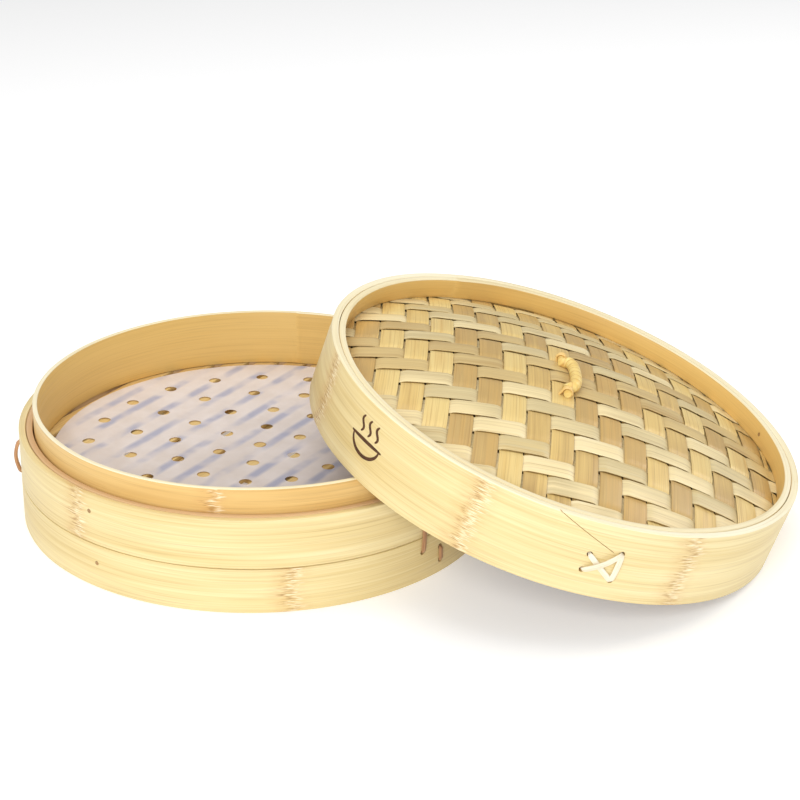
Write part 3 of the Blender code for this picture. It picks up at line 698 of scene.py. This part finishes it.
def build_lid_hoops():
    band, rim, inner = MATERIALS["band"], MATERIALS["rim"], MATERIALS["inner"]
    outer = hoop(
        "lid_band", "lid_outer_band", LID, "lid", RADIUS, LID_INNER, 0.0, LID_HEIGHT,
        (band, rim, inner), 5.23, knots=(-102.4, -52.6, -153.0, 10.0, 66.0, 118.0, 165.0),
    )
    upper = hoop(
        "lid_rim_hoop", "lid_upper_hoop", LID, "lid", LID_HOOP_RADIUS, LID_RIM_INNER,
        MAT_TOP_AT_EDGE, LID_HEIGHT, (band, rim, inner), 6.9, seam=math.radians(129.8),
    )
    hoop(
        "lid_under_hoop", "lid_lower_hoop", LID, "lid", LID_HOOP_RADIUS, LID_RIM_INNER,
        LID_LOWER_HOOP[0], LID_LOWER_HOOP[1], (inner, rim, inner), 7.7, seam=math.radians(-40),
    )
    pin_hole = bmesh.new()
    holes = bmesh.new()
    for spot in LACING_HOLES:
        wall_rod(holes, spot, LID_HOOP_RADIUS + 0.0001, RADIUS + PAST_WALL, STITCH_HOLE_RADIUS)
    scarf_into(holes)
    for mesh in (holes, pin_hole):
        wall_rod(mesh, LID_PIN, LID_RIM_INNER - PAST_WALL, RADIUS + PAST_WALL, PIN_HOLE_RADIUS)
    carve(outer, holes)
    carve(upper, pin_hole)


def scarf_into(mesh):
    """The thin slanted slit at the end of the lid's outer strip."""
    steps = 10
    half = SCARF_WIDTH / 2
    section = ((-SCARF_DEPTH, -half), (-SCARF_DEPTH, half), (PAST_WALL, half), (PAST_WALL, -half))
    rows = []
    for step in range(-1, steps + 1):
        share = step / steps
        angle = math.radians(SCARF[0][0] + share * (SCARF[1][0] - SCARF[0][0]))
        height = SCARF[0][1] + share * (SCARF[1][1] - SCARF[0][1])
        row = [on_circle(RADIUS + out, angle, height + rise) for out, rise in section]
        rows.append([mesh.verts.new(point) for point in row])
    for first, second in zip(rows, rows[1:]):
        for j in range(4):
            k = (j + 1) % 4
            mesh.faces.new((first[j], first[k], second[k], second[j]))
    mesh.faces.new(rows[0])
    mesh.faces.new(rows[-1])


# Woven mat


def dome(x, y):
    """Height of the mat's middle layer."""
    share = (x * x + y * y) / DOME_RADIUS**2
    return MAT_EDGE + DOME_RISE * max(0.0, 1.0 - share)


class Strips:
    """One direction of the weave: parallel strips, numbered along their common normal."""

    def __init__(self, turn, pitch, shift, lifts):
        self.normal = Vector((math.cos(turn), math.sin(turn)))
        self.along = Vector((-math.sin(turn), math.cos(turn)))
        self.pitch = pitch
        self.shift = shift
        self.lifts = lifts

    def numbers(self):
        first = math.floor((-DOME_RADIUS - self.shift) / self.pitch)
        last = math.ceil((DOME_RADIUS - self.shift) / self.pitch)
        return range(first, last)

    def level(self, number, other):
        """+1 over and -1 under the other strip at a crossing: a 2/2 twill."""
        on_top = (number + other) % 4 in (1, 2)
        return 1.0 if on_top == self.lifts else -1.0

    def height(self, number, others, point):
        """Smooth level at a point, bending from one crossing to the next."""
        place = (point.dot(others.normal) - others.shift) / others.pitch
        cell = math.floor(place)
        into = (place - cell) * others.pitch
        here = self.level(number, cell)
        if into < STRIP_BEND:
            beside = self.level(number, cell - 1)
            share = (into + STRIP_BEND) / (2 * STRIP_BEND)
            return beside + (here - beside) * share * share * (3 - 2 * share)
        if others.pitch - into < STRIP_BEND:
            beside = self.level(number, cell + 1)
            share = (into - others.pitch + STRIP_BEND) / (2 * STRIP_BEND)
            return here + (beside - here) * share * share * (3 - 2 * share)
        return here


# A strip's section: across in widths, up in half thicknesses, crowned on top
STRIP_PROFILE = (
    (-0.5, -0.5), (-0.46, -1.0), (0.46, -1.0), (0.5, -0.5), (0.5, 0.5), (0.46, 1.0),
    (0.24, 1.25), (0.0, 1.35), (-0.24, 1.25), (-0.46, 1.0), (-0.5, 0.5),
)


def strip_piece(name, strips, number, others, node):
    """One woven strip from margin to margin, unless it would be too narrow."""
    width = strips.pitch - DRAW.uniform(0.0008, 0.0014)
    centre = strips.shift + (number + 0.5) * strips.pitch + DRAW.uniform(-0.0002, 0.0002)
    tone = DRAW.random()
    seed = DRAW.uniform(0, 100)
    limit = DOME_RADIUS - 0.001
    low, high = max(centre - width / 2, -limit), min(centre + width / 2, limit)
    if high - low < NARROWEST_STRIP:
        return
    steps = math.ceil(2 * STRIP_END_RADIUS / STRIP_STEP)
    sections = []
    for step in range(steps + 1):
        share = 2 * step / steps - 1
        section = []
        for a, b in STRIP_PROFILE:
            offset = low + (a + 0.5) * (high - low)
            run = share * math.sqrt(STRIP_END_RADIUS**2 - offset**2)
            sway = STRIP_SWAY * wave(run, seed, 18.0)
            point = (offset + sway) * strips.normal + run * strips.along
            level = strips.height(number, others, point) * WEAVE_LEVEL
            height = dome(point.x, point.y) + level + b * STRIP_THICKNESS / 2
            section.append(Vector((point.x, point.y, height)))
        sections.append(section)
    along = [seed + STRIP_STEP * step for step in range(steps + 1)]
    across = [0.0]
    spots = STRIP_PROFILE + STRIP_PROFILE[:1]
    for (a0, _), (a1, _) in zip(spots, spots[1:]):
        across.append(across[-1] + abs(a1 - a0) * width + 0.0001)
    across = [value + seed * 0.1 for value in across]
    tones = [tone + 0.16 * wave(step * STRIP_STEP, seed, 40.0) for step in range(steps + 1)]
    sweep = Sweep().add(sections, along, across, tones=tones)
    material = MATERIALS["warp" if strips.lifts else "weft"]
    piece(name, sweep, LID, (material,), "lid", (node,), sharp=50.0)


def build_mat():
    warps = Strips(WARP_TURN, WARP_PITCH, WARP_SHIFT, True)
    wefts = Strips(WEFT_TURN, WEFT_PITCH, WEFT_SHIFT, False)
    for index, number in enumerate(warps.numbers(), start=1):
        strip_piece(f"warp_strip_{index:02d}", warps, number, wefts, "mat_warp_strips")
    for index, number in enumerate(wefts.numbers(), start=1):
        strip_piece(f"weft_strip_{index:02d}", wefts, number, warps, "mat_weft_strips")


def build_lining():
    """The thin sheet under the weave, in dark browns of painted shade."""
    radii = [DOME_RADIUS * step / LINING_RINGS for step in range(1, LINING_RINGS + 1)]
    radii.append(STRIP_END_RADIUS)
    sections = []
    for side, order in ((0.5, radii), (-0.5, radii[::-1])):
        for radius in order:
            height = dome(radius, 0.0) - LINING_DROP + side * LINING_THICKNESS
            sections.append([on_circle(radius, angle, height) for angle in turns(LINING_SEGMENTS)])
    along = [0.005 * step for step in range(len(sections))]
    girth = 2 * math.pi * 0.06
    across = [girth * step / LINING_SEGMENTS for step in range(LINING_SEGMENTS + 1)]
    sweep = Sweep().add(sections, along, across)
    piece("lining_sheet", sweep, LID, (MATERIALS["lining"],), "lid", ("lid_lining",))


# Rattan


def strand_into(sweep, start, end, lift, seed, thickness=STRAND_THICKNESS):
    """A flat rattan strand on the wall from one hole to another."""
    start_angle, start_height = math.radians(start[0]), start[1]
    run = RADIUS * (math.radians(end[0]) - start_angle)
    rise = end[1] - start_height
    length = math.hypot(run, rise)
    way = (run / length, rise / length)
    stand = thickness / 2 + 0.0002
    bend = STRAND_BEND
    line = [(0.0, -STRAND_DEPTH, 0.6), (0.0, -0.0012, 0.6), (0.0001, -0.0004, 0.66)]
    line += [(0.3 * bend, 0.5 * stand, 0.8), (bend, stand + 0.15 * lift, 0.95)]
    for share in (0.15, 0.3, 0.42):
        line.append((share * length, stand + lift * math.sin(math.pi * share), 1.0))
    line.append((0.5 * length, stand + lift, 1.0))
    line += [(length - a, off, share) for a, off, share in reversed(line[:-1])]
    sections = []
    profile = (
        (-1, -0.4), (-0.8, -1), (0.8, -1), (1, -0.4),
        (1, 0.4), (0.75, 1), (0, 1.25), (-0.75, 1), (-1, 0.4),
    )
    for index, (a, off, share) in enumerate(line):
        heading = heading_at(line, index)
        section = []
        for side, layer in profile:
            along = a - layer * heading.y * thickness / 2
            out = off + layer * heading.x * thickness / 2
            across = side * share * STRAND_WIDTH / 2
            angle = start_angle + (along * way[0] - across * way[1]) / RADIUS
            height = start_height + along * way[1] + across * way[0]
            section.append(on_circle(RADIUS + out, angle, height))
        sections.append(section)
    along = [seed + a for a, _, _ in line]
    across = [0.0006 * step for step in range(len(profile) + 1)]
    return sweep.add(sections, along, across)


def build_stitches():
    for name, (start, end, lift) in BASKET_STITCHES.items():
        thickness = LOOP_THICKNESS if name.endswith("left") else STRAND_THICKNESS
        sweep = strand_into(Sweep(), start, end, lift, DRAW.random(), thickness)
        material = MATERIALS["brown_rattan"]
        piece(f"{name}_strand", sweep, BASKET, (material,), "basket", (name,))
    for number, (start, end, lift) in enumerate(LACING_STRANDS, start=1):
        sweep = strand_into(Sweep(), LACING_HOLES[start], LACING_HOLES[end], lift, DRAW.random())
        lacing = MATERIALS["lacing"]
        piece(f"lacing_strand_{number}", sweep, LID, (lacing,), "lid", ("lid_lacing",))


def handle_line():
    """(along Y, out from the axis, radius) down the middle of the handle's loop."""
    line = [(-HANDLE_HALF_SPAN - STUB_LENGTH / 2, 0.0, STUB_RADIUS)]
    line.append((-HANDLE_HALF_SPAN + STUB_LENGTH / 2, 0.0, STUB_RADIUS))
    arch = HANDLE_HALF_SPAN - STUB_LENGTH / 2 - HANDLE_RADIUS
    for step in range(LOOP_STEPS + 1):
        turn = math.pi * step / LOOP_STEPS
        spot = -arch * math.copysign(abs(math.cos(turn)) ** 0.75, math.cos(turn))
        swell = math.sin(turn) ** 0.5 if 0 < step < LOOP_STEPS else 0.0
        radius = STUB_RADIUS + (HANDLE_RADIUS - STUB_RADIUS) * min(1.0, 0.45 + swell)
        line.append((spot, HANDLE_REACH * swell, radius))
    line.append((HANDLE_HALF_SPAN - STUB_LENGTH / 2, 0.0, STUB_RADIUS))
    line.append((HANDLE_HALF_SPAN + STUB_LENGTH / 2, 0.0, STUB_RADIUS))
    return line


def build_handle():
    """A rattan core wound with a flat strand, so that its outline steps at every turn."""
    lean = Vector((math.sin(HANDLE_LEAN), 0.0, math.cos(HANDLE_LEAN)))
    side = Vector((0.0, 1.0, 0.0))
    other = side.cross(lean)
    line = handle_line()
    lengths = [0.0]
    for (y0, h0, _), (y1, h1, _) in zip(line, line[1:]):
        lengths.append(lengths[-1] + math.hypot(y1 - y0, h1 - h0))
    sections = []
    for index, (y, out, radius) in enumerate(line):
        heading = heading_at(line, index)
        across = heading.x * lean - heading.y * side
        centre = y * side + out * lean
        ring = []
        for turn in turns(LOOP_SIDES):
            wound = (lengths[index] / WRAP_PITCH + turn / (2 * math.pi)) % 1.0
            edge = 1.0 - WRAP_DEPTH * (1 - math.sin(math.pi * abs(wound + 0.5) % 1.0) ** 0.4)
            reach = radius * edge if radius > STUB_RADIUS * 1.2 else radius
            ring.append(centre + reach * (math.cos(turn) * across + math.sin(turn) * other))
        sections.append(ring)
    around = [WRAP_ROUND * step / LOOP_SIDES for step in range(LOOP_SIDES + 1)]
    sweep = Sweep().add(sections, lengths, around)
    place = LID @ Matrix.Translation((HANDLE_PLACE, 0.0, HANDLE_AXIS))
    place = place @ Matrix.Rotation(HANDLE_TURN, 4, "Z")
    wound = MATERIALS["wound"]
    piece("rattan_loop", sweep, place, (wound,), "handle", ("handle_loop",), sharp=60.0)


def build_ties():
    """Three turns of thin rattan round each end of the handle and the peg below."""
    bend = STUB_RADIUS + TIE_GAP
    thick, wide = TIE_RADII
    for number, side in enumerate((-1, 1), start=1):
        aside = -side * HANDLE_HALF_SPAN * math.sin(HANDLE_TURN)
        sweep = Sweep()
        for turn_number in (-1, 0, 1):
            line = []
            for x, z, start in ((aside, HANDLE_AXIS, 0.0), (0.0, PEG_AXIS, math.pi)):
                for step in range(TIE_STEPS + 1):
                    turn = start + math.pi * step / TIE_STEPS
                    outward = Vector((math.cos(turn), 0.0, math.sin(turn)))
                    centre = Vector((x, turn_number * TIE_PITCH, z))
                    line.append((centre + bend * outward, outward))
            sections = []
            for middle, outward in line:
                ring = []
                for a in turns(TIE_SIDES):
                    flat = wide * math.sin(a) * Vector((0.0, 1.0, 0.0))
                    ring.append(middle + thick * math.cos(a) * outward + flat)
                sections.append(ring)
            along = [0.0008 * step for step in range(len(sections) + 1)]
            around = [0.0003 * step for step in range(TIE_SIDES + 1)]
            sweep.add(sections, along, around, closed=True)
        foot = side * HANDLE_HALF_SPAN * math.cos(HANDLE_TURN)
        place = LID @ Matrix.Translation((HANDLE_PLACE, foot, 0.0))
        rattan = MATERIALS["rattan"]
        piece(f"tie_{number}", sweep, place, (rattan,), "lid", (f"handle_tie_{number}",))


# Paper, slats and small CAD pieces


def build_liner():
    """The perforated sheet, cut from a slightly wavy disc."""
    radius = (PAPER[1].y - PAPER[0].y) / 2
    bottom = PAPER[0].z + PAPER_LIFT
    mesh = Sweep()
    sections = []
    radii = [radius * (step + 0.5) / (PAPER_RINGS + 0.5) for step in range(PAPER_RINGS + 1)]
    for layer, order in ((PAPER_THICKNESS, radii), (0.0, radii[::-1])):
        for r in order:
            ring = []
            for angle in turns(PAPER_SEGMENTS):
                spot = on_circle(r, angle)
                lift = PAPER_WAVE * (1 + noise.noise(spot * 22.0)) * min(1.0, r / 0.02)
                ring.append(Vector((spot.x, spot.y, bottom + layer + lift)))
            sections.append(ring)
    mesh.add(sections, [0.0] * len(sections), [0.0] * (PAPER_SEGMENTS + 1))
    for face in mesh.mesh.faces:
        for loop in face.loops:
            loop[mesh.grain].uv = loop.vert.co.xy
    paper = MATERIALS["paper"]
    liner = piece(
        "liner_sheet", mesh, BASKET, (paper,), "liner", ("parchment_liner",)
    )
    holes = bmesh.new()
    spots = [Vector((0.0, 0.0, 0.0))]
    for ring, count in enumerate(PAPER_HOLE_COUNTS, start=1):
        for angle in turns(count, PAPER_HOLE_TURN):
            spots.append(on_circle(ring * PAPER_HOLE_PITCH, angle))
    for spot in spots:
        low = spot + Vector((0, 0, bottom - 0.002))
        high = spot + Vector((0, 0, bottom + 0.003))
        rod_into(holes, low, high, PAPER_HOLE_RADIUS, sides=28)
    carve(liner, holes)


def grain_by_place(mesh, direction, seed):
    """Writes the maps of a flat-lying bar from its places."""
    layer = mesh.loops.layers.uv.new("grain")
    knot = mesh.loops.layers.uv.new("knot")
    along = Vector((math.cos(direction), math.sin(direction), 0.0))
    across = Vector((-math.sin(direction), math.cos(direction), 1.0))
    for face in mesh.faces:
        for loop in face.loops:
            place = loop.vert.co
            loop[layer].uv = (place.dot(along) + seed, place.dot(across) + seed * 3.1)
            loop[knot].uv = (FAR_FROM_KNOT, seed)


def bar_from_node(name, node, direction, body, material, seed, rounding):
    """A copy of a plain CAD bar with rounded edges and a grain."""
    mesh = bmesh.new()
    mesh.from_mesh(frame["nodes"][node].data)
    bmesh.ops.remove_doubles(mesh, verts=mesh.verts, dist=0.00001)
    bmesh.ops.dissolve_limit(mesh, angle_limit=0.02, verts=mesh.verts, edges=mesh.edges)
    if rounding:
        bmesh.ops.bevel(
            mesh, geom=list(mesh.edges), offset=rounding, segments=3, affect="EDGES", profile=0.5
        )
    for face in mesh.faces:
        face.smooth = True
    grain_by_place(mesh, direction, seed)
    return piece(name, mesh, Matrix.Identity(4), (material,), body, (node,))


def build_bars():
    """Slats, battens, the handle's peg and the pins."""
    slat = MATERIALS["slat"]
    across = SLAT_ANGLE + math.pi / 2
    rows = (("floor_slat", SLAT_ANGLE, SLAT_ROUND), ("floor_batten", across, BATTEN_ROUND))
    for start, turn, rounding in rows:
        for node in sorted(node for node in frame["nodes"] if node.startswith(start)):
            name = node.replace("floor_", "")
            bar_from_node(name, node, turn, "basket", slat, DRAW.random(), rounding)
    along_y = math.pi / 2
    bar_from_node("peg", "handle_peg", along_y, "lid_peg", slat, DRAW.random(), 0.0)
    pins = {"basket_pin_upper": "basket", "basket_pin_lower": "basket", "lid_pin": "lid"}
    for node, body in pins.items():
        bar_from_node(f"{node}_end", node, 0.0, body, MATERIALS["pin"], 0.4, 0.0)


def build_mark():
    """A generic burnt mark: three curls of steam over a bowl."""
    sweep = Sweep()
    centre = RADIUS * math.radians(MARK_PLACE[0])
    lines = []
    for shift in (-CURL_PITCH, 0.0, CURL_PITCH):
        curl = []
        for step in range(25):
            share = step / 24
            swing = CURL_SWING * math.sin(2 * math.pi * share)
            curl.append((shift + swing, CURL_BOTTOM + CURL_HEIGHT * share))
        lines.append((curl, CURL_WIDTH))
    bowl = []
    for step in range(33):
        turn = math.pi + math.pi * step / 32
        bowl.append((BOWL_RADIUS * math.cos(turn), BOWL_TOP + BOWL_DEPTH * math.sin(turn)))
    lines.append((bowl, BOWL_WIDTH))
    bowl_rim = [(-BOWL_RIM + 2 * BOWL_RIM * step / 16, BOWL_TOP) for step in range(17)]
    lines.append((bowl_rim, BOWL_WIDTH))
    section_of_line = ((-1, -MARK_SUNK), (1, -MARK_SUNK), (1, MARK_PROUD), (-1, MARK_PROUD))
    for number, (line, width) in enumerate(lines):
        sections = []
        for index, (x, z) in enumerate(line):
            heading = heading_at(line, index)
            taper = width * (1 - 0.55 * abs(2 * index / (len(line) - 1) - 1) ** 3)
            section = []
            for side, out in section_of_line:
                a = (centre + x - side * heading.y * taper / 2) / RADIUS
                height = MARK_PLACE[1] + z + side * heading.x * taper / 2
                section.append(on_circle(RADIUS + out + MARK_LAYER * number, a, height))
            sections.append(section)
        along = [0.001 * step for step in range(len(line))]
        sweep.add(sections, along, [0.0, width, width + 0.0002, 2 * width, 2 * width + 0.0002])
    burn = MATERIALS["burn"]
    piece("burnt_mark", sweep, LID, (burn,), "lid")


# Camera, light and floor


def build_camera():
    data = bpy.data.cameras.new("camera")
    data.lens = CAMERA_LENS
    data.sensor_width = 36.0
    data.clip_start = 0.01
    data.clip_end = 20.0
    camera = bpy.data.objects.new("camera", data)
    bpy.context.scene.collection.objects.link(camera)
    a, e = CAMERA_AZIMUTH, CAMERA_DROP
    forward = Vector((-math.sin(a) * math.cos(e), math.cos(a) * math.cos(e), -math.sin(e)))
    level = forward.cross(Vector((0.0, 0.0, 1.0))).normalized()
    upright = level.cross(forward)
    right = math.cos(CAMERA_ROLL) * level + math.sin(CAMERA_ROLL) * upright
    up = math.cos(CAMERA_ROLL) * upright - math.sin(CAMERA_ROLL) * level
    turn = Matrix((right, up, -forward)).transposed().to_4x4()
    camera.matrix_world = Matrix.Translation(CAMERA_PLACE + Vector((BASKET_X, 0, 0))) @ turn
    bpy.context.scene.camera = camera


def soft_box(name, place, side, power):
    data = bpy.data.lights.new(name, "AREA")
    data.shape = "SQUARE"
    data.size = side
    data.energy = power
    light = bpy.data.objects.new(name, data)
    bpy.context.scene.collection.objects.link(light)
    light.location = place
    light.rotation_euler = (LIGHT_AIM - Vector(place)).to_track_quat("-Z", "Y").to_euler()


def build_stage():
    scene = bpy.context.scene
    scene.view_settings.view_transform = "Standard"
    world = bpy.data.worlds.new("studio")
    world.use_nodes = True
    background = world.node_tree.nodes["Background"]
    background.inputs["Color"].default_value = (1.0, 1.0, 1.0, 1.0)
    background.inputs["Strength"].default_value = WORLD_STRENGTH
    scene.world = world
    mesh = bmesh.new()
    bmesh.ops.create_grid(mesh, x_segments=1, y_segments=1, size=FLOOR_HALF)
    data = bpy.data.meshes.new("floor")
    mesh.to_mesh(data)
    mesh.free()
    floor = bpy.data.objects.new("floor", data)
    scene.collection.objects.link(floor)
    floor.location = (0.0, 0.0, -FLOOR_DROP)
    n = Nodes("floor")
    n.shader.inputs["Base Color"].default_value = (0.90, 0.90, 0.90, 1.0)
    n.shader.inputs["Roughness"].default_value = 0.9
    n.shader.inputs["Specular IOR Level"].default_value = 0.0
    n.shader.inputs["Emission Color"].default_value = (1.0, 1.0, 1.0, 1.0)
    n.shader.inputs["Emission Strength"].default_value = FLOOR_GLOW
    data.materials.append(n.material)
    for name, place, side, power in LIGHTS:
        soft_box(name, place, side, power)


MATERIALS = make_materials()
build_camera()
build_stage()
build_basket_hoops()
build_bars()
build_liner()
build_lid_hoops()
build_lining()
build_mat()
build_stitches()
build_handle()
build_ties()
build_mark()
